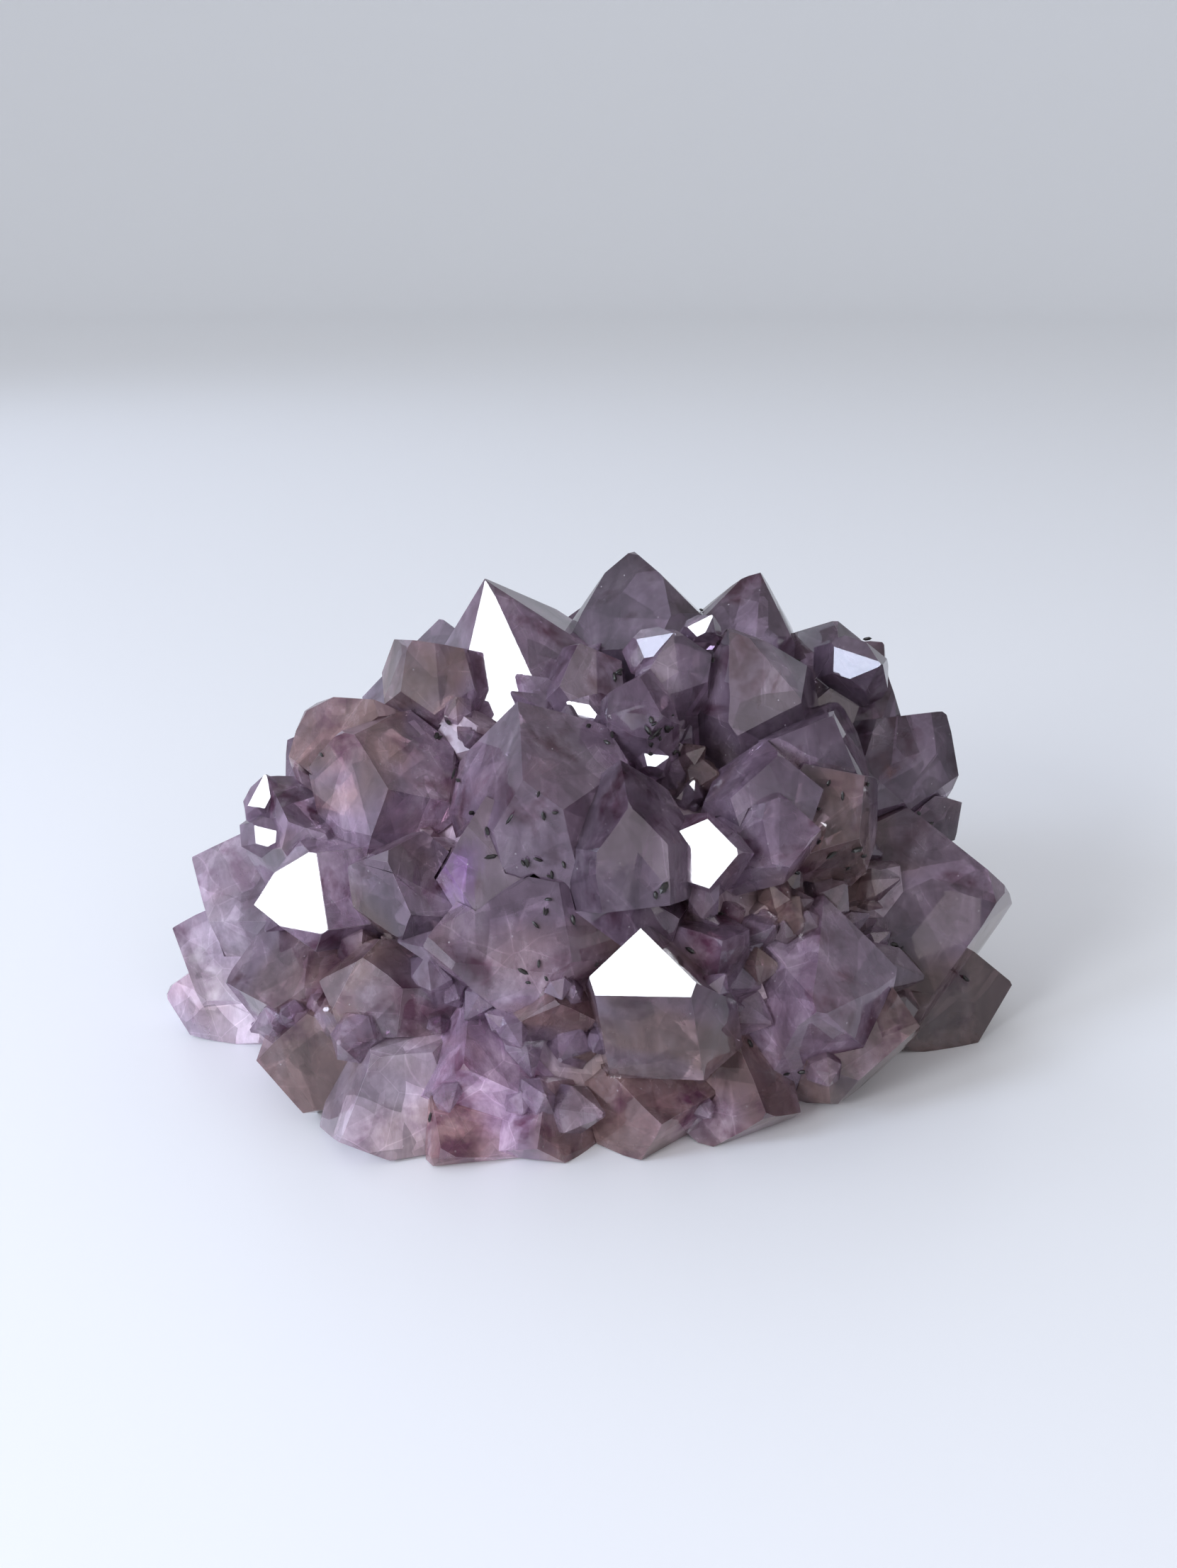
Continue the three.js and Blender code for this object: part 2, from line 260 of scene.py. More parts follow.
    see = share(tree, wisps, 0.35, 0.65, clear + 0.12, clear - 0.12)
    patches = noise_at(tree, spot, 2.5 * MM, Detail=4)
    frosting = share(tree, patches, 0.45, 0.75, frost, frost + 0.12)
    rough = add(tree, "ShaderNodeMath", {"operation": "ADD"}, i0=frosting)
    tree.links.new(times(tree, worn, 0.3), rough.inputs[1])
    ripples = noise_at(tree, spot, 1.2 * MM, Detail=3)
    bump = add(tree, "ShaderNodeBump", Strength=0.25, Distance=0.02 * MM, Height=ripples)
    shader = add(
        tree,
        "ShaderNodeBsdfPrincipled",
        Base_Color=colour,
        Roughness=rough.outputs[0],
        IOR=1.544,
        Transmission_Weight=see,
        Normal=bump.outputs["Normal"],
    )
    add(tree, "ShaderNodeOutputMaterial", Surface=shader.outputs["BSDF"])
    return material


# %% [markdown]
# ## The four kinds of quartz
#
# Amethyst proper is mauve. Where the iron is weaker the same crystal turns smoky, a grey brown.
# The pale points at the left end hold the least colour and the most haze. The root is massive
# quartz: countless grains grown into each other, so light scatters and little passes through.
# All four share the index of quartz, 1.544. Grown faces are near mirrors, hence the low
# roughness, and only the root is dull.

# %% Make the four quartz materials
BODY, WARM, DEEP, HAZE = "#af97b0", "#b09190", "#6c4058", "#d0c2cf"
MATERIALS = {
    "mauve_amethyst": quartz_material("mauve_amethyst", BODY, WARM, DEEP, HAZE, 0.0, 0.66, 0.03),
    "smoky_amethyst": quartz_material("smoky_amethyst", BODY, WARM, DEEP, HAZE, 0.2, 0.66, 0.04),
    "pale_amethyst": quartz_material(
        "pale_amethyst", "#c8b8ca", "#c4aeb4", "#94788e", "#e2d8e2", 0.05, 0.6, 0.06
    ),
    "massive_quartz": quartz_material(
        "massive_quartz", "#a894a2", "#a48c8c", "#765868", "#c4b6bc", 0.15, 0.15, 0.2
    ),
}
print("materials:", list(MATERIALS))

# %% [markdown]
# ## Directions
#
# A flat crystal face is a mirror, so what it shows depends on where the lights stand. Both lights
# are therefore placed first, as directions, and one function tells how a face must lie to send a
# given light into the camera.

# %% Directions and mirrors
def toward(azimuth, elevation):
    """The direction of an azimuth from the front towards +X and an elevation, in degrees."""
    a, e = math.radians(azimuth), math.radians(elevation)
    return Vector((math.sin(a) * math.cos(e), -math.cos(a) * math.cos(e), math.sin(e)))


WINDOW = (-34.5, 20.3)
CURTAIN = (-56, 27)


def mirror_of(middle, light):
    """The way a face at middle must look to mirror a light, 1 m away, into the camera."""
    eye = (camera.location - middle).normalized()
    lamp = (AIM + toward(*light) - middle).normalized()
    return (eye + lamp).normalized()


print("the window stands towards", [round(c, 2) for c in toward(*WINDOW)])

# %% [markdown]
# ## Blocks of crystal
#
# Each block of the model is copied, its flat triangles are joined back into whole faces, and the
# copy then gets what a real crystal has: no gap to its neighbour, a chipped tip and worn edges.
# One tree of all faces tells what lies in front of any point, by shooting rays.

# %% Look up what lies where
HEART = Vector((0, 0, 8)) * MM  # the large points grow away from about here
LOW_HEART = Vector((0, 0, 5)) * MM  # and open faces look away from about here
SLOT_OF = {part["node"]: part["material_slot"] for part in frame["record"]["subparts"]}
ORDER = {node: index for index, node in enumerate(SLOT_OF)}


def block_tree():
    """A search tree of every CAD face, and the block that owns each face."""
    points, faces, owners = [], [], []
    for node in SLOT_OF:
        data = frame["nodes"][node].data
        start = len(points)
        points += [v.co.copy() for v in data.vertices]
        faces += [[start + i for i in face.vertices] for face in data.polygons]
        owners += [ORDER[node]] * len(data.polygons)
    return BVHTree.FromPolygons(points, faces), owners


BLOCKS, OWNERS = block_tree()
print("faces in the search tree:", len(OWNERS))

# %% [markdown]
# ## Closing the seams
#
# The model keeps a gap of 0.3 mm between blocks, but real points are grown together. A face with
# a neighbour right in front of it moves out into that neighbour, and the free faces stay put.

# %% Close a seam
SEAM_REACH = 0.55 * MM  # a face that has a neighbour nearer than this is in a seam
SEAM_PUSH = 0.36 * MM  # and moves out by this, just into the neighbour


def probe_points(mesh):
    """The middle of the largest triangle of every face."""
    best = {}
    for corners in mesh.calc_loop_triangles():
        a, b, c = (loop.vert.co for loop in corners)
        area = (b - a).cross(c - a).length
        face = corners[0].face
        if area > best.get(face, (0, None))[0]:
            best[face] = (area, (a + b + c) / 3)
    return best


def close_seams(mesh, order):
    """Pushes the faces in a seam outwards, and returns those faces."""
    in_seam = set()
    for face, (_, point) in probe_points(mesh).items():
        hit = BLOCKS.ray_cast(point + face.normal * 1e-5, face.normal, SEAM_REACH)
        if hit[2] is not None and OWNERS[hit[2]] < order:
            in_seam.add(face)
    moves = []
    for vert in mesh.verts:
        if not any(face in in_seam for face in vert.link_faces):
            continue
        pull = Matrix.Diagonal((0.02, 0.02, 0.02))
        goal = Vector()
        for face in vert.link_faces:
            n = face.normal
            pull += Matrix([n * n.x, n * n.y, n * n.z])
            if face in in_seam:
                goal += n * SEAM_PUSH
        move = pull.inverted() @ goal
        if move.length > 2 * SEAM_PUSH:
            move *= 2 * SEAM_PUSH / move.length
        moves.append((vert, move))
    for vert, move in moves:
        spot = vert.co + move
        vert.co = [min(max(c, low), high) for c, low, high in zip(spot, CAD_LOW, CAD_HIGH)]
    return in_seam


# %% [markdown]
# ## Cutting
#
# Quartz has no easy way to split, so a knock takes off a small curved flake at the tip. Seen from
# a hand's width away a flat cut looks the same, and it keeps the block closed.

# %% Cut a block by a plane
def is_closed(mesh):
    return all(len(edge.link_faces) == 2 for edge in mesh.edges)


def slice_off(mesh, point, outward):
    parts = mesh.verts[:] + mesh.edges[:] + mesh.faces[:]
    done = bmesh.ops.bisect_plane(
        mesh, geom=parts, dist=1e-8, plane_co=point, plane_no=outward, clear_outer=True
    )
    rim = [e for e in done["geom_cut"] if isinstance(e, bmesh.types.BMEdge)]
    return bmesh.ops.holes_fill(mesh, edges=rim, sides=0)["faces"] if rim else []


def cut(mesh, point, outward):
    """Takes away what lies beyond a plane, and returns the new faces.

    It is tried on a copy first, and left out if it would leave a hole.
    """
    if not any((v.co - point).dot(outward) > 1e-8 for v in mesh.verts):
        return []
    trial = mesh.copy()
    slice_off(trial, point, outward)
    sound = is_closed(trial)
    trial.free()
    return slice_off(mesh, point, outward) if sound else []


def chip(mesh, corner, chance, worn, biggest):
    """Breaks a small flake off a corner, if nothing further than 3 mm away would go with it."""
    outward = (corner - HEART).normalized()
    tilt = Vector([chance.gauss(0, 0.55) for _ in range(3)])
    normal = (outward + tilt).normalized()
    depth = chance.uniform(0.15, 1) * biggest
    reach = max((v.co - corner).dot(normal) for v in mesh.verts)
    plane = corner + normal * (reach - depth)
    gone = [v for v in mesh.verts if (v.co - plane).dot(normal) > 0]
    if all((v.co - corner).length < 3 * MM for v in gone):
        for face in cut(mesh, plane, normal):
            face[worn] = 0.6


# %% [markdown]
# ## Faces that are not quite one
#
# A large face is seldom a single plane. It grows as several patches that lean by a few degrees,
# so it breaks into panes. Thin wedges cut off the free faces give them.

# %% Split the large faces
PANE_LEAST = 5 * MM * MM  # smaller faces stay whole
WEDGE_DEPTHS = (0.12 * MM, 0.4 * MM)
WEDGE_MOST = 0.45 * MM  # a wedge that would go deeper anywhere is left out
LEAN_MOST = 0.14  # as a slope


def split_faces(mesh, in_seam, chance, smallest):
    """Cuts thin wedges off the free faces."""
    free = [f for f in mesh.faces if f not in in_seam and f.calc_area() > smallest]
    planes = []
    for face in free:
        n = face.normal.copy()
        spots = [v.co.copy() for v in face.verts]
        middle = face.calc_center_median()
        for _ in range(2 if face.calc_area() > 4 * smallest else 1):
            way = n.cross(Vector([chance.gauss(0, 1) for _ in range(3)])).normalized()
            reach = max((p - middle).dot(way) for p in spots)
            start = middle + way * reach * chance.uniform(-0.3, 0.6)
            run = reach - (start - middle).dot(way)
            lean = min(chance.uniform(*WEDGE_DEPTHS) / run, LEAN_MOST)
            planes.append((start, (n + way * lean).normalized()))
    for start, normal in planes:
        if max((v.co - start).dot(normal) for v in mesh.verts) < WEDGE_MOST:
            cut(mesh, start, normal)


# %% [markdown]
# ## Finishing a crystal
#
# An edge between two free faces is never razor sharp: handling and small knocks leave a narrow
# pale band. A bevel makes that band real, and marks it so that the material can whiten it. Three
# more marks are stored for the material: how near the tip a corner is, how smoky the crystal is,
# and the tone of each face. That tone is painted light and shade, mixed with the crystal's own
# depth of colour.

# %% Finish a crystal
# Partly each crystal's own depth of colour, partly painted light and shade: the low front crystals
# and the feet are lightened as if lit from below, and back_peak and right_foot are darkened with
# painted shade.
TONE_AND_PAINTED_LIGHT = {  # how much lighter or darker than the others a crystal is
    "back_peak": 0.6,
    "front_glint": 0.62,
    "mid_left": 0.64,
    "centre_front": 0.66,
    "right_foot": 0.64,
    "right_step": 0.76,
    "brown_left": 0.78,
    "low_left": 0.78,
    "brown_right": 0.82,
    "crown_front": 0.8,
    "centre_lavender": 0.92,
    "chipped_left": 0.84,
    "left_shoulder": 1.2,
    "left_peak": 1.2,
    "front_right": 1.2,
    "left_foot": 1.3,
    "front_foot_1": 1.15,
    "front_foot_2": 1.3,
    "front_foot_3": 1.3,
    "front_foot_4": 1.2,
    "low_front": 1.75,
}
# Painted light: every face gets a random brightness of its own, standing for the differing shading
# and inner reflections of the facets.
PAINTED_FACE_LIGHT_SPREAD = 0.17  # how much the faces of one crystal differ
TONE_SPREAD = 0.12  # how much the crystals differ in smoke
WORN_WIDTHS = (0.05, 0.11)  # width of a worn edge in millimetres, least and most
SAME_CORNER = 0.002 * MM
SAME_FACE = math.radians(0.6)
CHIPPED = {  # flakes off the tip, and the biggest of them in millimetres
    "crown_front": (5, 0.9),
    "right_point": (6, 1.2),
    "chipped_left": (6, 1.4),
    "low_left": (5, 1.2),
    "brown_shoulder": (5, 1.5),
    "left_shoulder": (4, 1.0),
    "right_glint": (2, 0.3),
    "left_glint": (1, 0.2),
    "front_left": (4, 1.0),
    "mid_left": (4, 0.9),
    "left_peak": (1, 0.2),
    "front_glint": (1, 0.2),
}
USUAL_CHIPS = (2, 0.35)
MIRRORS = ("left_peak", "front_glint", "right_glint", "left_glint")  # flat, they mirror a window
GLOW_REACH = 8.0  # how far the deep colour of a tip reaches down, in millimetres


def bevel(mesh, edges, width):
    return bmesh.ops.bevel(
        mesh, geom=edges, offset=width, segments=1, affect="EDGES", clamp_overlap=True
    )["faces"]


def wear(mesh, in_seam, worn, width):
    """Bevels the edges between free faces, unless that would leave a hole."""
    edges = []
    for edge in mesh.edges:
        if len(edge.link_faces) != 2 or any(face in in_seam for face in edge.link_faces):
            continue
        if edge.calc_face_angle_signed(0) > 0.25 and edge.calc_length() > 4 * width:
            edges.append(edge)
    mesh.edges.index_update()
    trial = mesh.copy()
    trial.edges.ensure_lookup_table()
    bevel(trial, [trial.edges[edge.index] for edge in edges], width)
    sound = is_closed(trial)
    trial.free()
    if sound:
        for face in bevel(mesh, edges, width):
            face[worn] = 1.0
    return sound


SHARP, TORN = [], []  # crystals whose edges could not be worn, and any left with a hole


def crystal_from(node):
    """The finished crystal that stands in for one block of the model."""
    chance = random.Random(ORDER[node])
    mesh = bmesh.new()
    mesh.from_mesh(frame["nodes"][node].data)
    bmesh.ops.remove_doubles(mesh, verts=mesh.verts, dist=SAME_CORNER)
    bmesh.ops.dissolve_limit(
        mesh, angle_limit=SAME_FACE, verts=mesh.verts, edges=mesh.edges
    )
    worn = mesh.faces.layers.float.new("worn")
    in_seam = close_seams(mesh, ORDER[node])
    free = [v for v in mesh.verts if not any(f in in_seam for f in v.link_faces)]
    tip = max(free or mesh.verts, key=lambda v: (v.co - HEART).length).co.copy()
    if node != "quartz_root":
        if node not in MIRRORS:
            split_faces(mesh, in_seam, chance, PANE_LEAST)
        in_seam = {face for face in in_seam if face.is_valid}
        count, biggest = CHIPPED.get(node, USUAL_CHIPS)
        for _ in range(count):
            chip(mesh, tip, chance, worn, biggest * MM)
        in_seam = {face for face in in_seam if face.is_valid}
        if not wear(mesh, in_seam, worn, chance.uniform(*WORN_WIDTHS) * MM):
            SHARP.append(node)
    if not is_closed(mesh):
        TORN.append(node)
    data = bpy.data.meshes.new(node + "_quartz")
    mesh.to_mesh(data)
    mesh.free()
    near = [max(0.0, 1 - (v.co - tip).length / MM / GLOW_REACH) for v in data.vertices]
    data.attributes.new("near_tip", "FLOAT", "POINT").data.foreach_set("value", near)
    tone = [chance.uniform(-TONE_SPREAD, TONE_SPREAD)] * len(data.vertices)
    data.attributes.new("tone", "FLOAT", "POINT").data.foreach_set("value", tone)
    tone_and_light = TONE_AND_PAINTED_LIGHT.get(node, 1.0)
    panes = [tone_and_light * chance.uniform(1 - PAINTED_FACE_LIGHT_SPREAD, 1 + PAINTED_FACE_LIGHT_SPREAD) - 1 for _ in data.polygons]
    data.attributes.new("face_tone_and_light", "FLOAT", "FACE").data.foreach_set("value", panes)
    piece = bpy.data.objects.new(node + "_quartz", data)
    bpy.context.scene.collection.objects.link(piece)
    data.materials.append(MATERIALS[SLOT_OF[node]])
    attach(piece, "root")
    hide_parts(node)
    return piece


crystals = {node: crystal_from(node) for node in SLOT_OF}
print("edges left sharp:", SHARP, "with a hole:", TORN)
print("crystals:", len(crystals), "faces:", sum(len(c.data.polygons) for c in crystals.values()))

# %% [markdown]
# ## Where small things grow
#
# Small crystals and mineral grains sit where the big points meet. To find such places, random
# spots are dropped on the free faces, more on the larger ones, and each is asked two things: is
# it open to the outside, and is another crystal within reach?

# %% Find open spots and seams
SPOTS = 26000
SEAM_NEAR = 1.3 * MM
ABOVE_GROUND = 1.5 * MM
STEEPEST = -0.2  # a spot may face inwards by this much, as a cosine, and still count as open


def is_open(place, normal, least):
    """Whether a spot on the model faces out by at least this cosine and nothing covers it."""
    outward = (place - LOW_HEART).normalized()
    if normal.dot(outward) < least:
        return False
    return BLOCKS.ray_cast(place + normal * 1e-5 + outward * 1e-4, outward)[2] is None


def open_spots(count, seed):
    """Random open spots on the model: place, face normal, block, and whether a seam is near."""
    chance = random.Random(seed)
    faces, areas = [], []
    for node, order in ORDER.items():
        data = frame["nodes"][node].data
        for face in data.polygons:
            corners = [data.vertices[i].co for i in face.vertices]
            faces.append((corners, face.normal.copy(), order))
            areas.append(face.area)
    spots = []
    for corners, normal, order in chance.choices(faces, weights=areas, k=count):
        u, v = sorted((chance.random(), chance.random()))
        place = corners[0] * u + corners[1] * (v - u) + corners[2] * (1 - v)
        if place.z < ABOVE_GROUND or not is_open(place, normal, STEEPEST):
            continue
        near = BLOCKS.find_nearest_range(place, SEAM_NEAR)
        seam = any(OWNERS[index] != order for _, _, index, _ in near)
        spots.append((place, normal, order, seam))
    return spots


SPOTS_FOUND = open_spots(SPOTS, 5)
print("open spots:", len(SPOTS_FOUND), "in a seam:", sum(spot[3] for spot in SPOTS_FOUND))

# %% [markdown]
# ## A node tree that plants things
#
# Both the small crystals and the grains are planted by Geometry Nodes. The tree gets points that
# know which way is out, sets one low-poly shape on each, leans and sizes it by seeded random
# numbers, turns the instances into real mesh and gives it a material. The result is then kept as
# a plain mesh.

# %% Planting with Geometry Nodes
def socket_of(tree, name):
    return next(item.identifier for item in tree.interface.items_tree if item.name == name)


def planting_tree(name, shape):
    """shape(tree) adds the nodes of the shape, which is about 1 high along Z."""
    tree = bpy.data.node_groups.new(name, "GeometryNodeTree")
    new = tree.interface.new_socket
    new("Geometry", in_out="INPUT", socket_type="NodeSocketGeometry")
    for label in "Smallest", "Largest", "Lean":
        new(label, in_out="INPUT", socket_type="NodeSocketFloat")
    new("Seed", in_out="INPUT", socket_type="NodeSocketInt")
    new("Material", in_out="INPUT", socket_type="NodeSocketMaterial")
    new("Geometry", in_out="OUTPUT", socket_type="NodeSocketGeometry")
    given = tree.nodes.new("NodeGroupInput").outputs

    def chance(kind, low, high, offset):
        first = {"FLOAT_VECTOR": 0, "FLOAT": 2}[kind]
        seed = add(tree, "ShaderNodeMath", {"operation": "ADD"}, i0=given["Seed"], i1=offset)
        node = add(tree, "FunctionNodeRandomValue", {"data_type": kind}, i8=seed.outputs[0])
        for index, value in (first, low), (first + 1, high):
            if isinstance(value, bpy.types.NodeSocket):
                tree.links.new(value, node.inputs[index])
            else:
                node.inputs[index].default_value = value
        return node.outputs[0 if kind == "FLOAT_VECTOR" else 1]

    outward = add(
        tree, "GeometryNodeInputNamedAttribute", {"data_type": "FLOAT_VECTOR"}, Name="outward"
    )
    upright = add(
        tree, "FunctionNodeAlignRotationToVector", {"axis": "Z"}, Vector=outward.outputs[0]
    )
    back = add(tree, "ShaderNodeMath", {"operation": "MULTIPLY"}, i0=given["Lean"], i1=-1.0)
    corners = []
    for x, turn in (given["Lean"], math.pi), (back.outputs[0], -math.pi):
        corners.append(add(tree, "ShaderNodeCombineXYZ", X=x, Y=x, Z=turn).outputs[0])
    lean = add(
        tree,
        "FunctionNodeEulerToRotation",
        Euler=chance("FLOAT_VECTOR", corners[1], corners[0], 0),
    )
    turned = add(
        tree,
        "FunctionNodeRotateRotation",
        {"rotation_space": "LOCAL"},
        i0=upright.outputs[0],
        i1=lean.outputs[0],
    )
    spread = chance("FLOAT", 0.0, 1.0, 1)
    skewed = add(tree, "ShaderNodeMath", {"operation": "POWER"}, i0=spread, i1=2.0).outputs[0]
    size = add(
        tree,
        "ShaderNodeMapRange",
        Value=skewed,
        To_Min=given["Smallest"],
        To_Max=given["Largest"],
    )
    form = chance("FLOAT_VECTOR", (0.75, 0.75, 0.8), (1.2, 1.2, 1.3), 2)
    scale = add(tree, "ShaderNodeVectorMath", {"operation": "SCALE"}, i0=form)
    tree.links.new(size.outputs[0], scale.inputs["Scale"])
    planted = add(
        tree,
        "GeometryNodeInstanceOnPoints",
        Points=given["Geometry"],
        Instance=shape(tree),
        Rotation=turned.outputs[0],
        Scale=scale.outputs[0],
    )
    real = add(tree, "GeometryNodeRealizeInstances", Geometry=planted.outputs[0])
    done = add(
        tree, "GeometryNodeSetMaterial", Geometry=real.outputs[0], Material=given["Material"]
    )
    result = tree.nodes.new("NodeGroupOutput")
    tree.links.new(done.outputs[0], result.inputs[0])
    return tree


CALM = math.radians(6.5)  # a face nearer than this to mirroring a light flashes
FLASH_LEAST = 0.75 * MM * MM  # smaller faces only sparkle


def flashes(face):
    """Whether a face is large enough to be seen and mirrors a light into the camera."""
    if face.calc_area() < FLASH_LEAST:
        return False
    middle = face.calc_center_median()
    return any(face.normal.angle(mirror_of(middle, light)) < CALM for light in (WINDOW, CURTAIN))


def drop_flashing(data):
    """Takes out every planted shape that flashes; returns how many shapes went."""
    mesh = bmesh.new()
    mesh.from_mesh(data)
    dropped = 0
    for face in list(mesh.faces):
        if not face.is_valid or not flashes(face):
            continue
        island, edge = {face.verts[0]}, [face.verts[0]]
        while edge:
            vertex = edge.pop()
            for link in vertex.link_edges:
                other = link.other_vert(vertex)
                if other not in island:
                    island.add(other)
                    edge.append(other)
        bmesh.ops.delete(mesh, geom=list(island), context="VERTS")
        dropped += 1
    mesh.to_mesh(data)
    mesh.free()
    return dropped


def plant(name, tree, places, smallest, largest, lean, seed, material):
    """Plants a shape on (place, outward) pairs and returns the result as one plain piece.

    Sizes are in millimetres and the lean in degrees.
    """
    data = bpy.data.meshes.new(name)
    data.from_pydata([place for place, _ in places], [], [])
    outward = data.attributes.new("outward", "FLOAT_VECTOR", "POINT")
    outward.data.foreach_set("vector", [c for _, way in places for c in way])
    grower = bpy.data.objects.new(name + "_seeds", data)
    bpy.context.scene.collection.objects.link(grower)
    modifier = grower.modifiers.new("planting", "NODES")
    modifier.node_group = tree
    given = {
        "Smallest": smallest * MM,
        "Largest": largest * MM,
        "Lean": math.radians(lean),
        "Seed": seed,
        "Material": material,
    }
    for label, value in given.items():
        modifier[socket_of(tree, label)] = value
    bpy.context.view_layer.update()
    seen = grower.evaluated_get(bpy.context.evaluated_depsgraph_get())
    mesh = bpy.data.meshes.new_from_object(seen)
    bpy.data.objects.remove(grower)
    dropped = drop_flashing(mesh)
    for vertex in mesh.vertices:
        spot = zip(vertex.co, CAD_LOW, CAD_HIGH)
        vertex.co = [min(max(c, low), high) for c, low, high in spot]
    piece = bpy.data.objects.new(name, mesh)
    bpy.context.scene.collection.objects.link(piece)
    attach(piece, "root")
    print(name, len(places), "planted,", dropped, "dropped,", len(mesh.polygons), "faces")
    return piece


# %% [markdown]
# ## Small points in the seams
#
# Late in its growth the cluster starts many small points wherever a gap is left. They have the
# six sides and the six-faced end of the big ones. Each stands partly sunk in its neighbours.

# %% Plant the small points
def small_point(tree):
    """Six sides that end in a slim blunt pyramid; the foot is below the planting place."""
    body = add(tree, "GeometryNodeMeshCylinder", Vertices=6, Radius=0.5, Depth=0.7)
    tip = add(
        tree,
        "GeometryNodeExtrudeMesh",
        {"mode": "FACES"},
        Mesh=body.outputs["Mesh"],
        Selection=body.outputs["Top"],
        Offset_Scale=0.52,
        Individual=False,
    )
    sharp = add(
        tree,
        "GeometryNodeScaleElements",
        {"domain": "FACE"},
        Geometry=tip.outputs["Mesh"],
        Selection=tip.outputs["Top"],
        Scale=0.1,
    )
    sunk = add(tree, "GeometryNodeTransform", Geometry=sharp.outputs[0])
    sunk.inputs["Translation"].default_value = (0, 0, -0.22)
    return sunk.outputs[0]


MOUND = [47 * MM, 40 * MM, 51 * MM]  # half width, half depth and height over the tips
VALLEY = 0.86  # small points stay below this share of the height of the mound
LOW_FRONT_HEART = Vector((0, 0, 12)) * MM
LOW_FRONT = {"behind": -14 * MM, "lowest": 4 * MM, "highest": 21 * MM}


def seam_places(count, seed, patchiness, blend_out=0.5, owner=None):
    """Seam spots in clusters: those where a slow noise is high."""
    chance = random.Random(seed)
    pool = []
    for place, normal, order, seam in SPOTS_FOUND:
        if owner is not None and order != owner:
            continue
        if owner is None and not seam:
            continue
        if noise.noise(place / (9 * MM) + Vector((seed, 0, 0))) < patchiness:
            continue
        if Vector([c / half for c, half in zip(place, MOUND)]).length > VALLEY:
            continue
        outward = (place - HEART).normalized()
        pool.append((place, normal.lerp(outward, blend_out).normalized()))
    return chance.sample(pool, min(count, len(pool)))


POINT_TREE = planting_tree("small points", small_point)
QUARTZ = MATERIALS["mauve_amethyst"]
seam_points = plant(
    "seam_points",
    POINT_TREE,
    seam_places(count=110, seed=3, patchiness=0.12),
    smallest=1.8,
    largest=5.5,
    lean=26,
    seed=7,
    material=QUARTZ,
)
root_druse = plant(
    "root_druse",
    POINT_TREE,
    seam_places(count=150, seed=4, patchiness=-1, blend_out=0.6, owner=ORDER["quartz_root"]),
    smallest=1.8,
    largest=6.0,
    lean=26,
    seed=11,
    material=MATERIALS["smoky_amethyst"],
)


def low_front_places(count, seed):
    """Seam spots low on the front, where the cluster starts many middling points."""
    chance = random.Random(seed)
    pool = []
    for place, normal, order, seam in SPOTS_FOUND:
        if not seam or place.y > LOW_FRONT["behind"]:
            continue
        if not LOW_FRONT["lowest"] < place.z < LOW_FRONT["highest"]:
            continue
        outward = (place - LOW_FRONT_HEART).normalized()
        pool.append((place, normal.lerp(outward, 0.5).normalized()))
    return chance.sample(pool, min(count, len(pool)))


low_points = plant(
    "low_points",
    POINT_TREE,
    low_front_places(count=46, seed=8),
    smallest=2.6,
    largest=7.0,
    lean=24,
    seed=19,
    material=QUARTZ,
)

# %% [markdown]
# ## Points that catch the light
#
# A few small points stand just so that one face mirrors the window. Each is cut from a cube,
# plane by plane, as a quartz point is bounded: three main faces, three lesser ones and six sides.

# %% Cut small points that face the light
FACE_TILT = math.radians(51.8)  # quartz: its axis to the normal of a tip face
GLINTS = [  # middle of the bright face in millimetres, its light, which way it rises, half width
    ((-0.6, -14.4, 39.9), WINDOW, -65, 2.2),
    ((6.8, -19.8, 36.3), WINDOW, 70, 1.5),
    ((10.2, -17.8, 31.9), WINDOW, 20, 1.8),
    ((7.0, -12.0, 46.4), CURTAIN, 55, 2.6),
    ((11.9, -9.4, 47.8), WINDOW, 40, 1.7),
    ((-34.4, -14.4, 30.9), WINDOW, 5, 2.2),
    ((-33.4, -17.6, 27.2), WINDOW, 80, 2.2),
    ((10.6, -31.0, 25.6), CURTAIN, 150, 2.1),
    ((28.8, -4.0, 42.2), CURTAIN, 80, 3.4),
]


def glint_point(middle, light, rise, half):
    """One small point whose first face mirrors a light; rise turns that face about itself."""
    face = mirror_of(middle, light)
    up = (Vector((0, 0, 1)) - face * face.z).normalized()
    turn = math.radians(rise)
    climb = up * math.cos(turn) + up.cross(face) * math.sin(turn)
    axis = climb * math.sin(FACE_TILT) + face * math.cos(FACE_TILT)
    side = (face - axis * math.cos(FACE_TILT)).normalized()
    tip = middle + climb * 0.95 * half
    mesh = bmesh.new()
    bmesh.ops.create_cube(mesh, size=6 * half, matrix=Matrix.Translation(tip - axis * half))
    for step in range(6):
        out = Matrix.Rotation(math.radians(60 * step), 3, axis) @ side
        slope = out * math.sin(FACE_TILT) + axis * math.cos(FACE_TILT)
        cut(mesh, tip + slope * (0.04 * half if step % 2 else 0), slope)
        cut(mesh, tip + out * half * (1, 0.7, 1.2)[step % 3], out)
    cut(mesh, tip - axis * 2.6 * half, -axis)
    return mesh


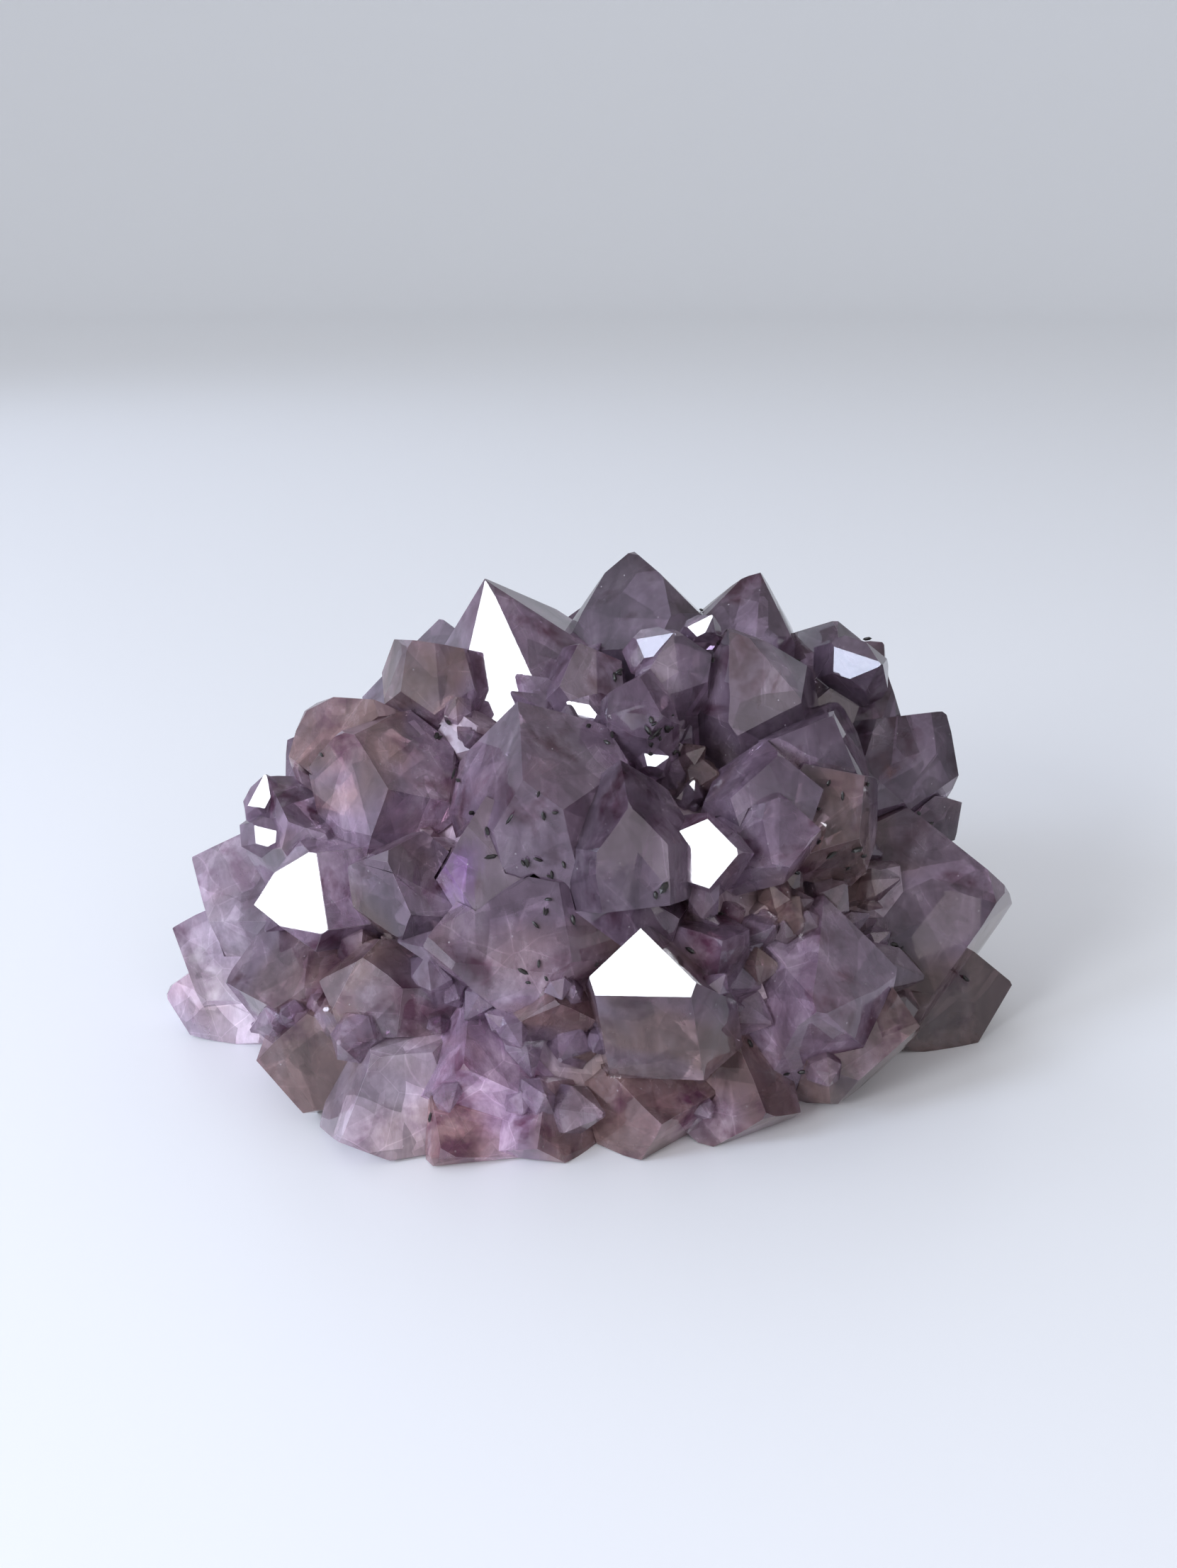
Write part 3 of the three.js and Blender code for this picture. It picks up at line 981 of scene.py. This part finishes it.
def add_glints():
    whole = bmesh.new()
    for middle, light, rise, half in GLINTS:
        one = glint_point(Vector(middle) * MM, light, rise, half * MM)
        scrap = bpy.data.meshes.new("scrap")
        one.to_mesh(scrap)
        one.free()
        whole.from_mesh(scrap)
        bpy.data.meshes.remove(scrap)
    data = bpy.data.meshes.new("glint_points")
    whole.to_mesh(data)
    whole.free()
    data.materials.append(MATERIALS["mauve_amethyst"])
    piece = bpy.data.objects.new("glint_points", data)
    bpy.context.scene.collection.objects.link(piece)
    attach(piece, "root")
    print("glint points:", len(GLINTS), "faces:", len(data.polygons))


add_glints()

# %% [markdown]
# ## Goethite grains
#
# The black specks are goethite, an iron mineral that grew in little bundles in the last open
# seams. Each grain is about a millimetre long, dark brown to black, with a dull metal shine.

# %% Plant the grains
GRAIN_SPOTS = [  # middle of a bundle in millimetres, its spread, and the number of grains
    ((7.4, -19.7, 39.4), 1.8, 9),
    ((6.3, -20.0, 38.0), 1.5, 4),
    ((9.0, -15.6, 35.3), 2.0, 5),
    ((1.6, -20.1, 38.8), 2.0, 4),
    ((3.5, -9.7, 42.4), 1.3, 3),
    ((-16.0, -10.0, 36.0), 1.5, 4),
    ((-4.2, -31.3, 36.1), 1.0, 1),
    ((-3.4, -31.3, 35.2), 1.5, 2),
    ((-8.0, -31.1, 33.5), 1.0, 1),
    ((-5.9, -31.2, 30.3), 1.6, 3),
    ((-3.0, -31.3, 27.8), 1.8, 3),
    ((-4.6, -32.9, 25.7), 1.6, 4),
    ((-5.0, -35.8, 19.0), 1.8, 4),
    ((12.3, -26.4, 22.1), 2.0, 5),
    ((18.1, -24.0, 19.6), 1.8, 4),
    ((14.4, -28.7, 14.5), 1.8, 4),
    ((33.0, -15.6, 13.3), 1.3, 3),
    ((7.0, -34.7, 27.4), 1.2, 2),
    ((26, -21, 26), 2.5, 5),
    ((27, -21, 33), 2.0, 3),
    ((-14, -19, 34), 2.0, 4),
    ((-12, 22, 34), 4.0, 10),
    ((20, 24, 24), 4.0, 10),
]
STRAY_GRAINS = 1500  # open spots that are asked whether a single grain grew there
GRAIN_FACING = 0.1  # least cosine between a grain's face and the way out
GRAIN_LIFT = 0.16 * MM  # how far a grain's own middle stands off the face it lies on


def grain(tree):
    """A long low-poly pebble, 1 long along Z."""
    ball = add(tree, "GeometryNodeMeshIcoSphere", Radius=0.5, Subdivisions=1)
    long = add(tree, "GeometryNodeTransform", Geometry=ball.outputs["Mesh"])
    long.inputs["Scale"].default_value = (0.36, 0.5, 1.0)
    return long.outputs[0]


def grain_places(seed):
    """Spots round each bundle's middle, and some strays, each with the way the grain lies."""
    chance = random.Random(seed)
    places = []

    def lay(place, normal):
        along = normal.cross(Vector([chance.gauss(0, 1) for _ in range(3)])).normalized()
        places.append((place + normal * GRAIN_LIFT, along))

    for middle, spread, count in GRAIN_SPOTS:
        left = count
        for _ in range(30 * count):
            stray = Vector([chance.gauss(0, 0.5 * spread) for _ in range(3)])
            place, normal, _, _ = BLOCKS.find_nearest((Vector(middle) + stray) * MM)
            if left and is_open(place, normal, GRAIN_FACING):
                lay(place, normal)
                left -= 1
    for place, normal, _, seam in chance.sample(SPOTS_FOUND, STRAY_GRAINS):
        if seam and noise.noise(place / (6 * MM)) > 0.25:
            lay(place, normal)
    return places


def goethite_material():
    """Near black. Goethite's own index is about 2.3, but then such small grains mirror so much
    light that they look grey; the lower index here keeps them black."""
    material, tree = new_material("goethite")
    spot = add(tree, "ShaderNodeTexCoord").outputs["Object"]
    grain_noise = noise_at(tree, spot, 0.3 * MM, Detail=3)
    colour = blend(tree, share(tree, grain_noise, 0.4, 0.65), linear("#060404"), linear("#1a120e"))
    shader = add(
        tree,
        "ShaderNodeBsdfPrincipled",
        Base_Color=colour,
        Roughness=share(tree, grain_noise, 0.3, 0.7, 0.4, 0.6),
        IOR=1.6,
    )
    add(tree, "ShaderNodeOutputMaterial", Surface=shader.outputs["BSDF"])
    return material


plant(
    "goethite_grains",
    planting_tree("grains", grain),
    grain_places(seed=9),
    smallest=0.7,
    largest=1.4,
    lean=25,
    seed=3,
    material=goethite_material(),
)

# %% [markdown]
# ## Floor
#
# A plain matt ground, so that nothing competes with the stone. It rises all round into a low
# wall, because the crystals mirror whatever is behind the camera too.

# %% Add the floor
def add_floor():
    """A round pale ground that sweeps up all round into a low wall."""
    flat, bend, wall, rise_steps, sides = 1.3, 0.5, 1.0, 16, 96
    profile = [(0.25, 0.0), (flat, 0.0)]
    for step in range(1, rise_steps + 1):
        a = math.pi / 2 * step / rise_steps
        profile.append((flat + bend * math.sin(a), bend * (1 - math.cos(a))))
    profile.append((flat + bend, wall))
    points = [(0, 0, 0)]
    for radius, z in profile:
        for side in range(sides):
            a = 2 * math.pi * side / sides
            points.append((radius * math.cos(a), radius * math.sin(a), z))
    faces = [(0, 1 + side, 1 + (side + 1) % sides) for side in range(sides)]
    for ring in range(len(profile) - 1):
        for side in range(sides):
            a, b = 1 + ring * sides + side, 1 + ring * sides + (side + 1) % sides
            faces.append((a, a + sides, b + sides, b))
    data = bpy.data.meshes.new("floor")
    data.from_pydata(points, [], faces)
    data.shade_smooth()
    floor = bpy.data.objects.new("floor", data)
    bpy.context.scene.collection.objects.link(floor)
    material, tree = new_material("pale_floor")
    shader = add(tree, "ShaderNodeBsdfPrincipled", Base_Color=linear("#f3f5f8"), Roughness=0.4)
    add(tree, "ShaderNodeOutputMaterial", Surface=shader.outputs["BSDF"])
    data.materials.append(material)
    return floor


floor = add_floor()
print("floor faces:", len(floor.data.polygons))

# %% [markdown]
# ## Light
#
# A small bright window at the front left makes the white faces, and a softer pale-blue curtain
# beside it makes the bluish ones. Three weak lamps stand in for the rest of the sky.

# %% Add the lights
# Each light: direction, distance and size in metres, radiance, colour.
def add_area(name, azimuth, elevation, distance, size, radiance, colour):
    """A square soft light that faces the stone; azimuth 0 is the front, 90 the right."""
    data = bpy.data.lights.new(name, "AREA")
    data.shape = "SQUARE"
    data.size = size
    data.energy = radiance * math.pi * size * size
    data.color = linear(colour)[:3]
    lamp = bpy.data.objects.new(name, data)
    bpy.context.scene.collection.objects.link(lamp)
    way = toward(azimuth, elevation)
    lamp.location = AIM + way * distance
    lamp.rotation_euler = (-way).to_track_quat("-Z", "Y").to_euler()
    lamp.visible_camera = False
    return lamp


add_area("window", *WINDOW, 1.0, 0.22, 30, "#f4f8ff")
add_area("curtain", *CURTAIN, 1.0, 0.3, 16, "#dde8ff")
add_area("left_sky", -80, 35, 1.0, 0.8, 0.5, "#dfe9ff")
add_area("back_sky", -140, 35, 0.7, 0.5, 0.9, "#dfe8ff")
add_area("front_fill", 15, 24, 1.0, 0.6, 1.1, "#fff2f0")

world = bpy.data.worlds.new("room")
bpy.context.scene.world = world
world.use_nodes = True
background = world.node_tree.nodes["Background"]
background.inputs["Color"].default_value = linear("#e6e6e8")
background.inputs["Strength"].default_value = 0.62
bpy.context.scene.view_settings.view_transform = "Standard"
